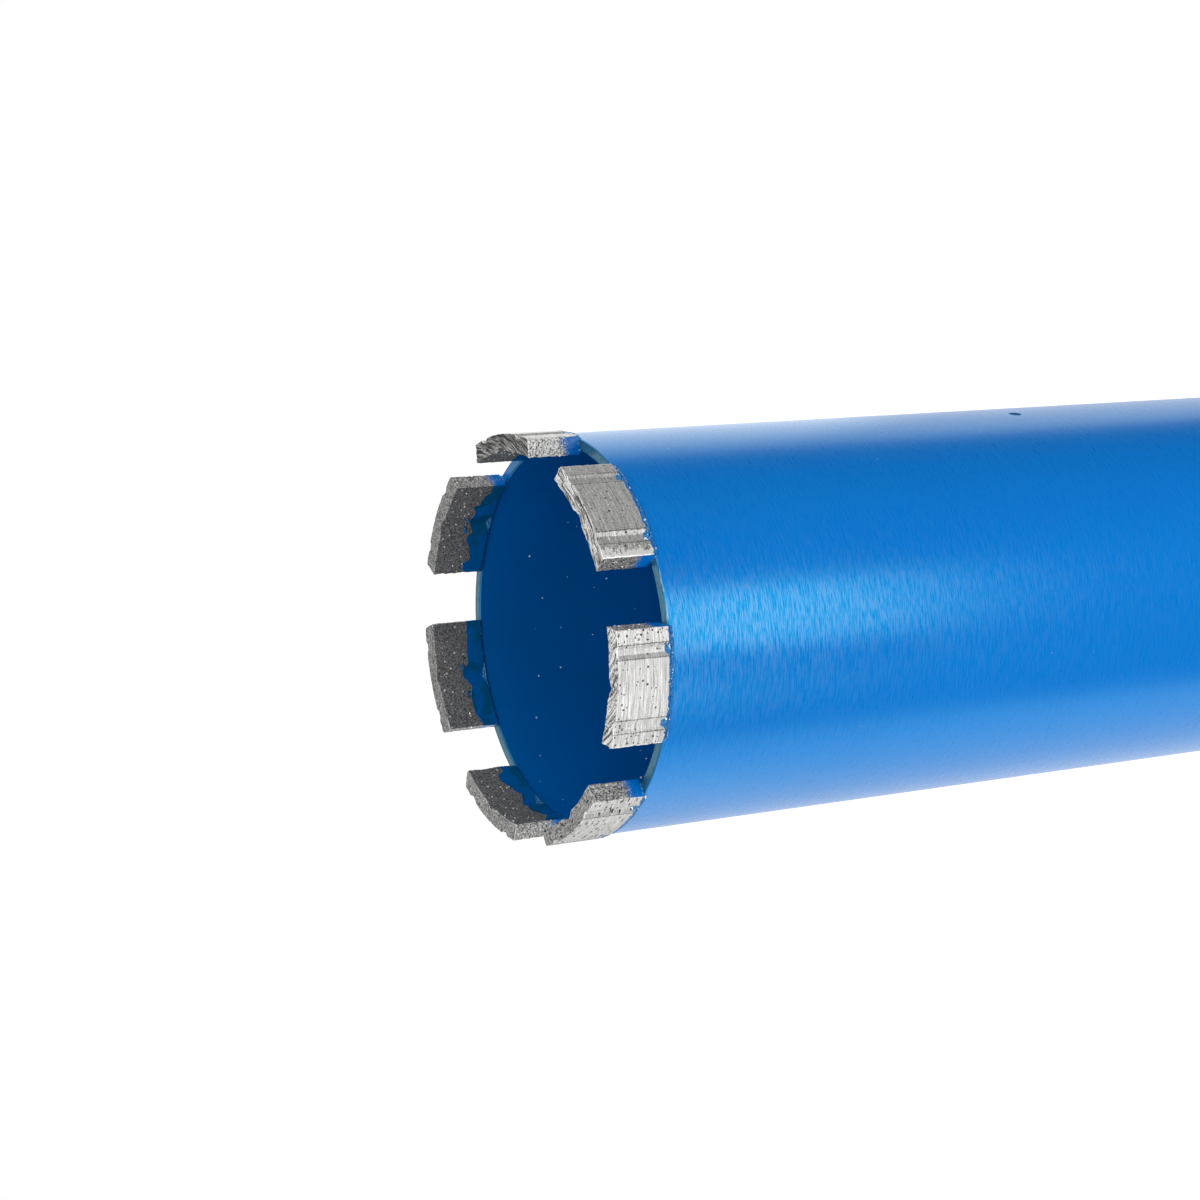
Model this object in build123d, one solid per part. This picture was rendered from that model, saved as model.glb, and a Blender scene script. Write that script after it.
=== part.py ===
from build123d import *
from math import asin, cos, sqrt
import os

# Diamond core bit, 82 mm, standing on its hub with the crown up.
# Origin: centre of the hub's end face. +Z runs along the bit's axis towards the crown.
# Segment 3 is centred on -Y, and the others follow clockwise seen from above. Millimetres.

# Overall
overall_length = 450.0

# Crown: the ring that the segments cut
crown_diameter = 82.0
segment_count = 7
segment_thickness = 3.6
segment_length = 22.6
segment_height = 11.3
segment_corner_radius = 0.45
segment_edge_break = 0.2
front_segment = 3
front_segment_angle = -90.0

# Two trapezoid grooves down the outer face of a segment
groove_mouth = 2.7
groove_floor = 1.1
groove_depth = 0.6
groove_offset = 7.2

# One V notch down the middle of the inner face of a segment
notch_mouth = 4.6
notch_depth = 0.95
notch_tip_shift = 0.3
notch_tip_radius = 0.4

# Barrel tube: the segments overhang it outside by side_clearance
tube_wall = 2.3
side_clearance = 0.65
tube_edge_break = 0.25

# Silver braze between a segment and the tube, with a fillet down each side of the wall
braze_film = 0.2
braze_leg = 1.2
braze_inset = 0.05

# End plate: a disc whose spigot centres it in the tube's rear
plate_flange_thickness = 5.0
plate_spigot_length = 5.0
plate_fit_clearance = 0.05
plate_spigot_chamfer = 1.0

# Hub: round boss with two wrench flats, tapped right through, 1 1/4 in x 7 per inch
hub_diameter = 48.0
hub_boss_length = 36.0
hub_flats_across = 41.0
hub_flats_height = 22.0
hub_spigot_diameter = 40.0
hub_fit_clearance = 0.05
hub_edge_chamfer = 1.2
tapped_bore_diameter = 28.2
lead_in_diameter = 33.0
bore_exit_break = 0.5

# Weld beads
tube_weld_leg = 1.6
tube_weld_crown = 0.25
hub_weld_leg = 5.0

# Derived radii
crown_radius = crown_diameter / 2
segment_inner_radius = crown_radius - segment_thickness
tube_radius = crown_radius - side_clearance
tube_bore_radius = tube_radius - tube_wall
tapped_bore_radius = tapped_bore_diameter / 2
hub_radius = hub_diameter / 2
hub_spigot_radius = hub_spigot_diameter / 2

# Derived heights
plate_bottom = hub_boss_length
tube_rear = plate_bottom + plate_flange_thickness
plate_top = tube_rear + plate_spigot_length
segment_base = overall_length - segment_height
tube_front = segment_base - braze_film

pitch_angle = 360.0 / segment_count


def ring_section(points):
    """Face in the XZ plane from (radius, height) points joined by straight lines."""
    return make_face(Polyline([(r, 0, z) for r, z in points], close=True))


def full_turn(section):
    """Solid of revolution about the bit's axis."""
    return revolve(section, Axis.Z, 360)


def segment_angle(number):
    """Direction of a segment's middle, in degrees from +X; they count clockwise from above."""
    return front_segment_angle - (number - front_segment) * pitch_angle


def turned_to(shape, angle):
    """A shape that was made facing +X, turned about the axis to face the angle."""
    return Rot(0, 0, angle) * shape


def groove_cutter(middle):
    """Trapezoid across the outer edge of the outline, its middle set off along Y."""
    surface = sqrt(crown_radius**2 - middle**2)
    slope = (groove_mouth - groove_floor) / 2 / groove_depth
    reach = 2 * groove_depth
    floor = surface - groove_depth
    half_floor = groove_floor / 2
    half_top = half_floor + slope * reach
    points = [
        (floor, middle - half_floor),
        (floor, middle + half_floor),
        (floor + reach, middle + half_top),
        (floor + reach, middle - half_top),
    ]
    return make_face(Polyline(points, close=True))


def notch_cutter():
    """V across the inner edge of the outline, its tip rounded and a little off the middle."""
    mouth = segment_inner_radius * cos(asin(notch_mouth / 2 / segment_inner_radius))
    tip = segment_inner_radius + notch_depth
    slope = (notch_mouth / 2) / (tip - mouth)
    reach = notch_depth
    half_open = notch_mouth / 2 + slope * reach
    points = [
        (tip, notch_tip_shift),
        (mouth - reach, half_open),
        (mouth - reach, -half_open),
    ]
    wedge = make_face(Polyline(points, close=True))
    point = wedge.vertices().sort_by(Axis.X)[-1]
    return fillet(point, notch_tip_radius)


def segment_outline():
    """Sector of the crown ring with parallel ends, the two grooves and the notch, facing +X."""
    ring = Circle(crown_radius) - Circle(segment_inner_radius)
    middle_radius = crown_radius - segment_thickness / 2
    window = Pos(middle_radius, 0) * Rectangle(crown_radius, segment_length)
    blank = ring & window
    blank = fillet(blank.vertices(), segment_corner_radius)
    for side in (-1, 1):
        blank -= groove_cutter(side * groove_offset)
    return blank - notch_cutter()


def segment_blank():
    """One sintered diamond segment facing +X, its crown edges broken."""
    body = Pos(0, 0, segment_base) * extrude(segment_outline(), segment_height)
    crown_face = body.faces().sort_by(Axis.Z)[-1]
    return chamfer(crown_face.edges(), segment_edge_break)


def braze_blank():
    """Braze under one segment, facing +X: a film on the tube's end and a fillet down each side."""
    foot = tube_front - braze_leg
    ring = full_turn(ring_section([
        (segment_inner_radius + braze_inset, segment_base),
        (crown_radius - braze_inset, segment_base),
        (tube_radius, foot),
        (tube_radius, tube_front - tube_edge_break),
        (tube_radius - tube_edge_break, tube_front),
        (tube_bore_radius + tube_edge_break, tube_front),
        (tube_bore_radius, tube_front - tube_edge_break),
        (tube_bore_radius, foot),
    ]))
    middle_radius = crown_radius - segment_thickness / 2
    middle_height = (segment_base + foot) / 2
    height = segment_base - foot
    window = Pos(middle_radius, 0, middle_height) * Box(crown_radius, segment_length, 2 * height)
    return ring & window


def barrel_tube():
    """Steel tube, its front edges broken and its rear edge bevelled for the weld."""
    section = ring_section([
        (tube_bore_radius, tube_rear),
        (tube_radius - tube_weld_leg, tube_rear),
        (tube_radius, tube_rear + tube_weld_leg),
        (tube_radius, tube_front - tube_edge_break),
        (tube_radius - tube_edge_break, tube_front),
        (tube_bore_radius + tube_edge_break, tube_front),
        (tube_bore_radius, tube_front - tube_edge_break),
    ])
    return full_turn(section)


def end_plate():
    """Turned disc: a flange on the tube's rear, a spigot in its bore and a hole for the hub."""
    hole_radius = hub_spigot_radius + hub_fit_clearance
    spigot_radius = tube_bore_radius - plate_fit_clearance
    section = ring_section([
        (hole_radius, plate_bottom),
        (tube_radius - tube_weld_leg, plate_bottom),
        (tube_radius, plate_bottom + tube_weld_leg),
        (tube_radius, tube_rear - tube_weld_leg),
        (tube_radius - tube_weld_leg, tube_rear),
        (spigot_radius, tube_rear),
        (spigot_radius, plate_top - plate_spigot_chamfer),
        (spigot_radius - plate_spigot_chamfer, plate_top),
        (hole_radius, plate_top),
    ])
    return full_turn(section)


def tube_weld():
    """Bead in the V groove between the tube's rear edge and the plate's flange, its crown flat."""
    crest = tube_radius + tube_weld_crown
    half_crest = tube_weld_leg / 2
    return full_turn(ring_section([
        (tube_radius - tube_weld_leg, tube_rear),
        (tube_radius, tube_rear - tube_weld_leg),
        (crest, tube_rear - half_crest),
        (crest, tube_rear + half_crest),
        (tube_radius, tube_rear + tube_weld_leg),
    ]))


def threaded_hub():
    """Boss with a spigot in the end plate, a through bore at tapping size and two wrench flats."""
    lead_in_radius = lead_in_diameter / 2
    lead_in_depth = lead_in_radius - tapped_bore_radius
    section = ring_section([
        (lead_in_radius, 0),
        (hub_radius - hub_edge_chamfer, 0),
        (hub_radius, hub_edge_chamfer),
        (hub_radius, plate_bottom),
        (hub_spigot_radius, plate_bottom),
        (hub_spigot_radius, plate_top),
        (tapped_bore_radius + bore_exit_break, plate_top),
        (tapped_bore_radius, plate_top - bore_exit_break),
        (tapped_bore_radius, lead_in_depth),
    ])
    boss = full_turn(section)
    flat_depth = hub_radius - hub_flats_across / 2
    for side in (-1, 1):
        middle = side * (hub_flats_across / 2 + flat_depth)
        boss -= Pos(middle, 0, 0) * Box(2 * flat_depth, hub_diameter, 2 * hub_flats_height)
    return boss


def hub_weld():
    """Fillet bead in the corner of the hub and the underside of the end plate."""
    return full_turn(ring_section([
        (hub_radius, plate_bottom),
        (hub_radius, plate_bottom - hub_weld_leg),
        (hub_radius + hub_weld_leg, plate_bottom),
    ]))


def write(shape, name):
    export_step(shape, f"parts/{name}.step")


def main():
    os.makedirs("parts", exist_ok=True)
    write(barrel_tube(), "tube")
    write(end_plate(), "end_plate")
    write(threaded_hub(), "hub")
    write(tube_weld(), "tube_weld")
    write(hub_weld(), "hub_weld")
    segment = segment_blank()
    braze = braze_blank()
    for number in range(1, segment_count + 1):
        angle = segment_angle(number)
        write(turned_to(segment, angle), f"segment_{number}")
        write(turned_to(braze, angle), f"braze_seam_{number}")


main()
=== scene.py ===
from math import acos, ceil, cos, pi, radians, sin

import bpy
from mathutils import Matrix, Vector


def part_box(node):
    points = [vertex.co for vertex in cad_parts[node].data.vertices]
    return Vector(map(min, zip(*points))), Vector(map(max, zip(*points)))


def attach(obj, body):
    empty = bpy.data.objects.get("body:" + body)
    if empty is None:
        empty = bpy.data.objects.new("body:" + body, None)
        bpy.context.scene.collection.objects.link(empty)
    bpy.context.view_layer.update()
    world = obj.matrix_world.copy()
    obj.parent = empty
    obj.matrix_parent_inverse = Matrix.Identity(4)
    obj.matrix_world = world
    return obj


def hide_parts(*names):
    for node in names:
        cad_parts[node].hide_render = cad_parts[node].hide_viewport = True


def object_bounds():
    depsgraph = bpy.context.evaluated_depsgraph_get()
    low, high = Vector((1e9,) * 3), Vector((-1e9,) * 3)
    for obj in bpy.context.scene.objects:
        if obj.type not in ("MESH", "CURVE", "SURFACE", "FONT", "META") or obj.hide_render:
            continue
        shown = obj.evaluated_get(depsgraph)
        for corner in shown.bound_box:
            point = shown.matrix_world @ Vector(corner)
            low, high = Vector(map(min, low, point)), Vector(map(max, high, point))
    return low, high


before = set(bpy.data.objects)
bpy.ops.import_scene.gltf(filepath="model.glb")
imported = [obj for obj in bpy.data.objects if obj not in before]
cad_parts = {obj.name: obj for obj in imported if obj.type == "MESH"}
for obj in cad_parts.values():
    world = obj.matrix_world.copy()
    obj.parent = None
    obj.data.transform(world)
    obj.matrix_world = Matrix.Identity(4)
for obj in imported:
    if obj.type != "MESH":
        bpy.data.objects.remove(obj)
cad_low, cad_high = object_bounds()

MM = 0.001

# Sizes of the bit, in metres. What the CAD parts in model.glb can give is read from them
crown_height = cad_high.z
crown_radius = 41.0 * MM
segment_count = 7
segment_length = 22.6 * MM
segment_thickness = 3.6 * MM
segment_height = 11.3 * MM
front_segment = 3
front_segment_angle = radians(-90)
groove_mouth = 2.7 * MM
groove_floor = 1.1 * MM
groove_depth = 0.6 * MM
groove_offset = 7.2 * MM
notch_mouth = 4.6 * MM
notch_depth = 0.95 * MM
notch_tip_shift = 0.3 * MM
tube_low, tube_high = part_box("tube")
tube_radius = tube_high.x
tube_wall = 2.3 * MM
tube_bore_radius = tube_radius - tube_wall
tube_front = tube_high.z
tube_rear = tube_low.z
tube_edge_break = 0.25 * MM
tube_weld_leg = 1.6 * MM
segment_root = crown_height - segment_height
plate_low, plate_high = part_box("end_plate")
plate_fit = 0.05 * MM
plate_chamfer = 1.0 * MM
hub_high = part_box("hub")[1]
hub_radius = 24.0 * MM
hub_spigot_radius = 20.0 * MM
hub_half_flats = 20.5 * MM
hub_flats_height = 22.0 * MM
hub_chamfer = 1.2 * MM
thread_minor_radius = 14.1 * MM
thread_major_radius = 15.875 * MM
thread_pitch = 25.4 / 7 * MM
thread_mouth_radius = 16.5 * MM
thread_exit_break = 0.5 * MM
hub_weld_leg = 5.0 * MM
hub_weld_ripple = 2.4 * MM
hub_weld_ripple_height = 0.45 * MM
hub_weld_hollow = 0.35 * MM
tube_weld_crown = 0.25 * MM
tube_weld_ripple = 1.6 * MM

# The one chip in the tube's lacquer: its place, and how far it reaches
chip_spot = (40.27 * MM, -2.48 * MM, 331.3 * MM)
chip_inner, chip_outer = 0.22 * MM, 0.32 * MM

# Steps round the axis of each turned piece, across a bead, and up one turn of the thread
barrel_steps = 384
plate_steps = 192
hub_steps = 144
tube_weld_steps = 960
hub_weld_steps = 480
bead_steps = 8
thread_steps = 10

# Camera, fitted to the photograph's 1200 x 1200 frame
lens_mm = 80.0
sensor_mm = 36.0
camera_radius = 469.64 * MM
camera_azimuth = radians(-73.88)
camera_above_crown = 241.12 * MM
camera_right = (0.039692, -0.490854, -0.870337)
camera_up = (0.972137, 0.220361, -0.079945)

# Sockets of a Random Value node that is set to FLOAT
random_min, random_max, random_out = 2, 3, 1

# Sockets of a Mix node that is set to RGBA
mix_factor, mix_first, mix_second, mix_out = 0, 6, 7, 2

socket_kinds = {float: "Float", int: "Int", tuple: "Vector"}


# Node trees: a Field is a socket that takes plain arithmetic

class Field:
    """A socket of a node tree; each operation on it adds one node to the tree."""

    def __init__(self, socket):
        self.socket = socket
        self.tree = socket.id_data

    def calc(self, operation, *others):
        return calc(self.tree, operation, self, *others)

    def __add__(self, other):
        return self.calc("ADD", other)

    def __radd__(self, other):
        return self.calc("ADD", other)

    def __sub__(self, other):
        return self.calc("SUBTRACT", other)

    def __rsub__(self, other):
        return calc(self.tree, "SUBTRACT", other, self)

    def __mul__(self, other):
        return self.calc("MULTIPLY", other)

    def __rmul__(self, other):
        return self.calc("MULTIPLY", other)

    def __truediv__(self, other):
        return self.calc("DIVIDE", other)

    def __rtruediv__(self, other):
        return calc(self.tree, "DIVIDE", other, self)

    def __abs__(self):
        return self.calc("ABSOLUTE")

    def root(self):
        return self.calc("SQRT")

    def above(self, low):
        return self.calc("MAXIMUM", low)

    def below(self, high):
        return self.calc("MINIMUM", high)

    def step(self, low, high):
        """0 at low and 1 at high, with a smooth rise between them."""
        node = self.tree.nodes.new("ShaderNodeMapRange")
        node.interpolation_type = "SMOOTHSTEP"
        for slot, value in zip(node.inputs, (self, low, high, 0.0, 1.0)):
            plug(slot, value)
        return Field(node.outputs[0])


def plug(slot, value):
    """Gives an input socket a link or a constant."""
    if isinstance(value, Field):
        slot.id_data.links.new(value.socket, slot)
    else:
        slot.default_value = value


def calc(tree, operation, *values):
    """One Math node."""
    node = tree.nodes.new("ShaderNodeMath")
    node.operation = operation
    for slot, value in zip(node.inputs, values):
        plug(slot, value)
    return Field(node.outputs[0])


def vector(tree, x, y, z):
    """Three numbers joined to a vector."""
    node = tree.nodes.new("ShaderNodeCombineXYZ")
    for slot, value in zip(node.inputs, (x, y, z)):
        plug(slot, value)
    return Field(node.outputs[0])


def coordinates(field):
    """The three numbers of a vector."""
    node = field.tree.nodes.new("ShaderNodeSeparateXYZ")
    plug(node.inputs[0], field)
    return [Field(output) for output in node.outputs]


def vector_calc(operation, first, *others):
    """One Vector Math node."""
    node = first.tree.nodes.new("ShaderNodeVectorMath")
    node.operation = operation
    for slot, value in zip(node.inputs, (first, *others)):
        plug(slot, value)
    return Field(node.outputs["Vector"])


def scaled(field, factor):
    """A vector times a number."""
    result = vector_calc("SCALE", field)
    plug(result.socket.node.inputs["Scale"], factor)
    return result


def from_axis(x, y):
    """Distance from the bit's axis."""
    return (x * x + y * y).root()


def mix(factor, first, second):
    """Number between first and second."""
    return second * factor + first * (1.0 - factor)


def noise(where, size, detail=2.0, roughness=0.5):
    """Soft noise from 0 to 1 with features of the given size in metres."""
    node = where.tree.nodes.new("ShaderNodeTexNoise")
    plug(node.inputs["Vector"], where)
    plug(node.inputs["Scale"], 1.0 / size)
    plug(node.inputs["Detail"], detail)
    plug(node.inputs["Roughness"], roughness)
    return Field(node.outputs[0])


def cells(where, size, output="Distance"):
    """Voronoi cells of the given size; Distance is in cells, Color is random for each cell."""
    node = where.tree.nodes.new("ShaderNodeTexVoronoi")
    plug(node.inputs["Vector"], where)
    plug(node.inputs["Scale"], 1.0 / size)
    return Field(node.outputs[output])


def new_tree(kind, name, inputs, outputs):
    """A node group. inputs are name: default and outputs are name: socket type."""
    tree = bpy.data.node_groups.new(name, f"{kind}NodeTree")
    for title, default in inputs.items():
        kind_name = socket_kinds[type(default)]
        socket = tree.interface.new_socket(
            title, in_out="INPUT", socket_type=f"NodeSocket{kind_name}")
        socket.default_value = default
    for title, kind_name in outputs.items():
        tree.interface.new_socket(title, in_out="OUTPUT", socket_type=f"NodeSocket{kind_name}")
    enter = tree.nodes.new("NodeGroupInput")
    leave = tree.nodes.new("NodeGroupOutput")
    return tree, {title: Field(enter.outputs[title]) for title in inputs}, leave


def use(tree, group, values, output):
    """Places a shader group in a tree and returns one of its outputs."""
    node = tree.nodes.new("ShaderNodeGroup")
    node.node_tree = group
    for title, value in values.items():
        plug(node.inputs[title], value)
    return Field(node.outputs[output])


# Shader groups

def lines_group():
    """Fine lines as a grinding wheel or a lathe tool leaves them, across the Z of the vector."""
    tree, put, leave = new_tree(
        "Shader", "ground_lines",
        {"Vector": (0.0, 0.0, 0.0), "Width": 0.4 * MM, "Length": 8 * MM, "Coarse Share": 0.15},
        {"Height": "Float"})
    x, y, z = coordinates(put["Vector"])
    x, y = x / put["Length"], y / put["Length"]
    fine = vector(tree, x, y, z / put["Width"])
    coarse = vector(tree, x, y, z / put["Width"] * 0.31)
    height = mix(put["Coarse Share"], noise(fine, 1.0, 2.0, 0.6), noise(coarse, 1.0, 1.0))
    plug(leave.inputs["Height"], height)
    return tree


def pits_group():
    """Scattered round pits: 1 in a pit and 0 outside it."""
    tree, put, leave = new_tree(
        "Shader", "pits",
        {"Vector": (0.0, 0.0, 0.0), "Spacing": 1.5 * MM, "Radius": 0.25, "Share": 0.5},
        {"Mask": "Float"})
    where = scaled(put["Vector"], 1.0 / put["Spacing"])
    wobble = (noise(where, 0.3, 1.0) - 0.5) * 0.3
    distance = cells(where, 1.0) + wobble
    chance = coordinates(cells(where, 1.0, "Color"))[0]
    chosen = 1.0 - chance.step(put["Share"] - 0.02, put["Share"])
    radius = put["Radius"] * (0.6 + chance / put["Share"] * 0.8)
    inside = 1.0 - distance.step(radius - 0.04, radius + 0.06)
    plug(leave.inputs["Mask"], inside * chosen)
    return tree


def grain_group():
    """Grain of a sintered metal: dark hollows between light grains."""
    tree, put, leave = new_tree(
        "Shader", "sintered_grain", {"Vector": (0.0, 0.0, 0.0), "Size": 0.5 * MM}, {"Height": "Float"})
    where = scaled(put["Vector"], 1.0 / put["Size"])
    height = noise(where, 1.0, 3.0, 0.7) * 0.75 + cells(where, 0.9) * 0.25
    plug(leave.inputs["Height"], height)
    return tree


ground_lines = lines_group()
pits = pits_group()
sintered_grain = grain_group()


# Materials

def new_material(name):
    """A material with its node tree and its Principled shader."""
    material = bpy.data.materials.new(name)
    material.use_nodes = True
    shader = material.node_tree.nodes["Principled BSDF"]
    return material, material.node_tree, shader


def place(tree):
    """Object coordinates."""
    return Field(tree.nodes.new("ShaderNodeTexCoord").outputs["Object"])


def facing(tree):
    """The true surface normal."""
    return Field(tree.nodes.new("ShaderNodeNewGeometry").outputs["True Normal"])


def seen_rays(tree):
    """1 for rays from the camera, a mirror or a glass, and 0 for the others."""
    path = tree.nodes.new("ShaderNodeLightPath")
    seen = Field(path.outputs["Is Camera Ray"]).above(Field(path.outputs["Is Glossy Ray"]))
    return seen.above(Field(path.outputs["Is Transmission Ray"]))


def attribute(tree, name):
    """A vector that the geometry tree stored on the piece."""
    node = tree.nodes.new("ShaderNodeAttribute")
    node.attribute_name = name
    return Field(node.outputs["Vector"])


def blend(factor, first, second):
    """Mixes two colours, each a Field or (r, g, b)."""
    node = factor.tree.nodes.new("ShaderNodeMix")
    node.data_type = "RGBA"
    plug(node.inputs[mix_factor], factor)
    for slot, colour in ((mix_first, first), (mix_second, second)):
        plug(node.inputs[slot], colour if isinstance(colour, Field) else (*colour, 1.0))
    return Field(node.outputs[mix_out])


def bump(height, strength, distance):
    """Normal of a relief that is the given distance deep."""
    node = height.tree.nodes.new("ShaderNodeBump")
    plug(node.inputs["Height"], height)
    node.inputs["Strength"].default_value = strength
    node.inputs["Distance"].default_value = distance
    return Field(node.outputs["Normal"])


# Colours of the lacquer: full, light, darker inside the tube as painted shade, worn thin and dark on the
# rim, and its glint
lacquer_full = (0.0, 0.16, 0.585)
lacquer_light = (0.0, 0.185, 0.625)
lacquer_inside_painted_shade = (0.0, 0.125, 0.41)
lacquer_thin = (0.05, 0.17, 0.27)
lacquer_dark = (0.01, 0.06, 0.12)
lacquer_glint = (0.05, 0.7, 0.8, 1.0)


def blue_lacquer():
    """Blue lacquer sprayed thinly over turned steel: the turning lines show through outside."""
    material, tree, shader = new_material("blue_lacquer")
    where = place(tree)
    x, y, z = coordinates(where)
    radius = from_axis(x, y)
    outside = radius.step(tube_radius - 0.8 * MM, tube_radius - 0.3 * MM)
    lines = use(tree, ground_lines, {"Vector": where, "Width": 0.24 * MM, "Length": 2.6 * MM,
                                     "Coarse Share": 0.03}, "Height")
    lines = (lines - 0.5) * outside
    cloud = noise(where, 35 * MM, 2.0)

    # One small chip, and the turning lines, outside; inside the tube the lacquer's blue is darker, as
    # painted shade
    from_chip = [field - at for field, at in zip((x, y, z), chip_spot)]
    across, round_tube, along = [field * field for field in from_chip]
    chip = 1.0 - (across + round_tube * 0.05 + along * 0.04).root().step(chip_inner, chip_outer)
    colour = blend((cloud + lines * 0.2).above(0.0).below(1.0), lacquer_full, lacquer_light)
    # painted shade: the inside of the tube gets a darker blue
    colour = blend(outside, blend(cloud, lacquer_inside_painted_shade, lacquer_full), colour)

    # On the rim the lacquer is worn on one side, and the creases of the broken edges get a dark line of
    # painted shade
    up = coordinates(facing(tree))[2]
    rim = up.step(0.6, 0.9) * z.step(tube_front - 1 * MM, tube_front - 0.5 * MM)
    bluish = (x * 0.78 + y * 0.62).step(36 * MM, 38 * MM)
    worn = blend(noise(where, 1.2 * MM, 3.0, 0.6).step(0.3, 0.6), lacquer_dark, lacquer_thin)
    colour = blend(rim * 0.9, colour, blend(bluish, worn, lacquer_full))
    from_middle = abs(radius - (tube_radius - tube_wall / 2))
    from_break = abs(from_middle - (tube_wall / 2 - tube_edge_break))
    at_front = z.step(tube_front - 0.3 * MM, tube_front - 0.2 * MM)
    crease = (1.0 - from_break.step(0.04 * MM, 0.18 * MM)) * at_front
    # painted shade: a dark line along the broken edges of the rim
    colour = blend(crease * 0.8, colour, (0.0, 0.03, 0.09))

    plug(shader.inputs["Base Color"], blend(chip, colour, (0.0, 0.05, 0.2)))
    plug(shader.inputs["Roughness"], 0.28 + lines * 0.05 + chip * 0.7)
    shader.inputs["Specular IOR Level"].default_value = 1.0
    shader.inputs["Specular Tint"].default_value = lacquer_glint
    slant = tree.nodes.new("ShaderNodeLayerWeight")
    head_on = (1.0 - Field(slant.outputs["Facing"])).calc("POWER", 6.0)
    plug(shader.inputs["Coat Weight"], (lines * 7.5 + 0.3).above(0.0).below(1.0) * head_on * 4.2)
    shader.inputs["Coat Roughness"].default_value = 0.33
    shader.inputs["Coat IOR"].default_value = 1.45
    return material


def painted_braze():
    """Glossy blue lacquer over the frozen lumps of silver braze, bare in a few spots; the pale bare spots
    on the outer crests also stand in for painted glints, and inside the tube the blue is darker as painted
    shade.
    """
    material, tree, shader = new_material("painted_braze")
    where = place(tree)
    grain = noise(where, 0.8 * MM, 2.0)
    x, y = coordinates(where)[:2]
    radius = from_axis(x, y)
    outside = radius.step(tube_radius - 1.2 * MM, tube_radius - 0.4 * MM)
    # painted glints, partly real bare braze: pale spots scattered over the outer crests of the bead
    bare = noise(where, 0.9 * MM, 2.0, 0.6).step(0.60, 0.63) * outside
    lacquer = blend(grain, (0.0, 0.10, 0.36), (0.0, 0.16, 0.52))
    # painted shade: inside the tube the lacquer's blue is darker
    lacquer = blend(outside, blend(grain, (0.0, 0.08, 0.24), (0.0, 0.12, 0.38)), lacquer)
    plug(shader.inputs["Base Color"], blend(bare, lacquer, (0.70, 0.80, 0.85)))
    plug(shader.inputs["Metallic"], bare * 0.6)
    plug(shader.inputs["Roughness"], 0.06 + grain * 0.1)
    shader.inputs["Specular IOR Level"].default_value = 1.0
    shader.inputs["Specular Tint"].default_value = (0.4, 0.9, 1.0, 1.0)
    plug(shader.inputs["Normal"], bump(grain, 1.0, 0.8 * MM))
    return material


def scored_lines(tree, along, across, height, slant):
    """Lines scored over a segment's front at an angle."""
    score = along * slant.calc("COSINE") + across * slant.calc("SINE")
    lines = use(tree, ground_lines, {"Vector": vector(tree, along, height, score),
                                     "Width": 0.38 * MM, "Length": 4 * MM}, "Height")
    return lines * 1.6 - 0.3


def segment_holes(tree, where, spot, pitted, streaked):
    """1 in a hole: where pitted, most are near the outer face's margins, and streaked ones are long."""
    along, across, height = coordinates(spot)
    patch = noise(where, 3.0 * MM, 2.0).step(0.45, 0.7)
    margin = abs(along).step(8.3 * MM, 9.0 * MM).above(height.step(9.0 * MM, 10.5 * MM))
    squeezed = along * (1.0 - streaked * 0.6)
    return use(tree, pits, {"Vector": vector(tree, squeezed, across, height),
                            "Spacing": 0.8 * MM, "Radius": 0.21 + streaked * 0.07,
                            "Share": 0.12 + patch * 0.2 + pitted * (0.12 + margin * 1.2) + streaked * 0.3},
               "Mask")


def groove_crumble(along, grain):
    """1 along the crumbled edges of the two grooves, which the material sinks and darkens as painted
    shade.
    """
    off_edge = abs(abs(abs(along) - groove_offset) - groove_mouth * 0.5)
    return 1.0 - (off_edge + (grain - 0.5) * 0.5 * MM).step(0.05 * MM, 0.16 * MM)


def edge_wear_and_highlight(along, across, height, grain):
    """1 along the edges where two faces of a segment meet, which the material lightens as wear and as a
    painted highlight.
    """
    from_end = segment_length / 2 - abs(along)
    from_side = segment_thickness / 2 - abs(across)
    from_front = segment_height - height
    nearest = from_end.below(from_side).below(from_front)
    farthest = from_end.above(from_side).above(from_front)
    off_edge = from_end + from_side + from_front - nearest - farthest
    return 1.0 - (off_edge + (grain - 0.5) * 1.1 * MM).step(0.02 * MM, 0.2 * MM)


def end_band(where, along, chipped):
    """The band past the last groove of a chipped segment, and the bright chips in it."""
    toward_end = (-1.0 * along - (groove_offset + groove_mouth / 2)) / (2.7 * MM)
    flake = noise(where, 0.55 * MM, 2.0, 0.6) + toward_end.below(1.0) * 0.35
    band = chipped * toward_end.step(0.0, 0.1)
    return band, band * flake.step(0.65, 0.68)


def above_lacquer(where, height, outer, end, front, inner):
    """Height over the ragged line where a segment's lacquer ends, highest on the inner face."""
    sweep = noise(where, 6.0 * MM, 1.0) - 0.5
    ragged = noise(where, 1.3 * MM, 1.0, 0.5) - 0.5
    speckle = noise(where, 0.3 * MM, 2.0, 0.7) - 0.5
    limit = outer * 0.3 * MM + end * 3.2 * MM + inner * 4.2 * MM - front * 5 * MM
    swing = outer * 0.9 * MM + end * 1.2 * MM + inner * 0.7 * MM
    sway = inner * 7.0 * MM + end * 2.0 * MM
    return height - limit - ragged * swing - sweep * sway - speckle * end * 4.5 * MM


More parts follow.
